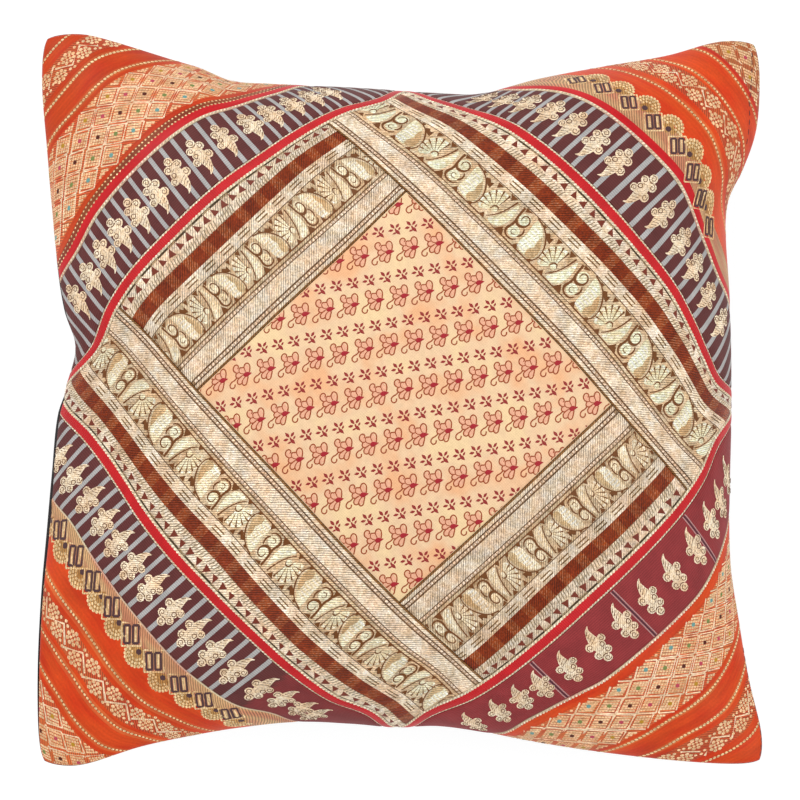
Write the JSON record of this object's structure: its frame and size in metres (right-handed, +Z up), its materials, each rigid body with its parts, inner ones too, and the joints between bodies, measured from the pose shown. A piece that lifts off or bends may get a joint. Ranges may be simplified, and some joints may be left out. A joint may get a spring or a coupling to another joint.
{
  "type": "filled patchwork cushion cover",
  "caption": "Square patchwork cushion cover, filled, with a diamond of brocade borders round a floral panel and striped corners.",
  "frame": {"origin": "middle of the box on the surface that the back rests on", "axes": "+Z up out of the face, +X to the face's right, +Y to the face's top edge"},
  "size_m": [0.387, 0.391, 0.1302],
  "materials": {
    "black_cotton": "plain woven cotton back, matt",
    "peach_silk": "satin silk with woven sprigs",
    "gold_brocade": "metallic thread brocade border",
    "red_ribbon": "woven ribbon with scalloped gold edges",
    "wine_silk": "striped silk with metallic sprigs",
    "orange_silk": "orange silk with metallic lattice and chains"
  },
  "bodies": {
    "root": {"filled_cover": "black_cotton", "centre_panel": "peach_silk", "gold_band_top_right": "gold_brocade", "red_ribbon_top_right": "red_ribbon", "sprig_band_top_right": "wine_silk", "corner_panel_top_right": "orange_silk", "gold_band_top_left": "gold_brocade", "red_ribbon_top_left": "red_ribbon", "sprig_band_top_left": "wine_silk", "corner_panel_top_left": "orange_silk", "gold_band_bottom_left": "gold_brocade", "red_ribbon_bottom_left": "red_ribbon", "sprig_band_bottom_left": "wine_silk", "corner_panel_bottom_left": "orange_silk", "gold_band_bottom_right": "gold_brocade", "red_ribbon_bottom_right": "red_ribbon", "sprig_band_bottom_right": "wine_silk", "corner_panel_bottom_right": "orange_silk"}
  },
  "joints": []
}
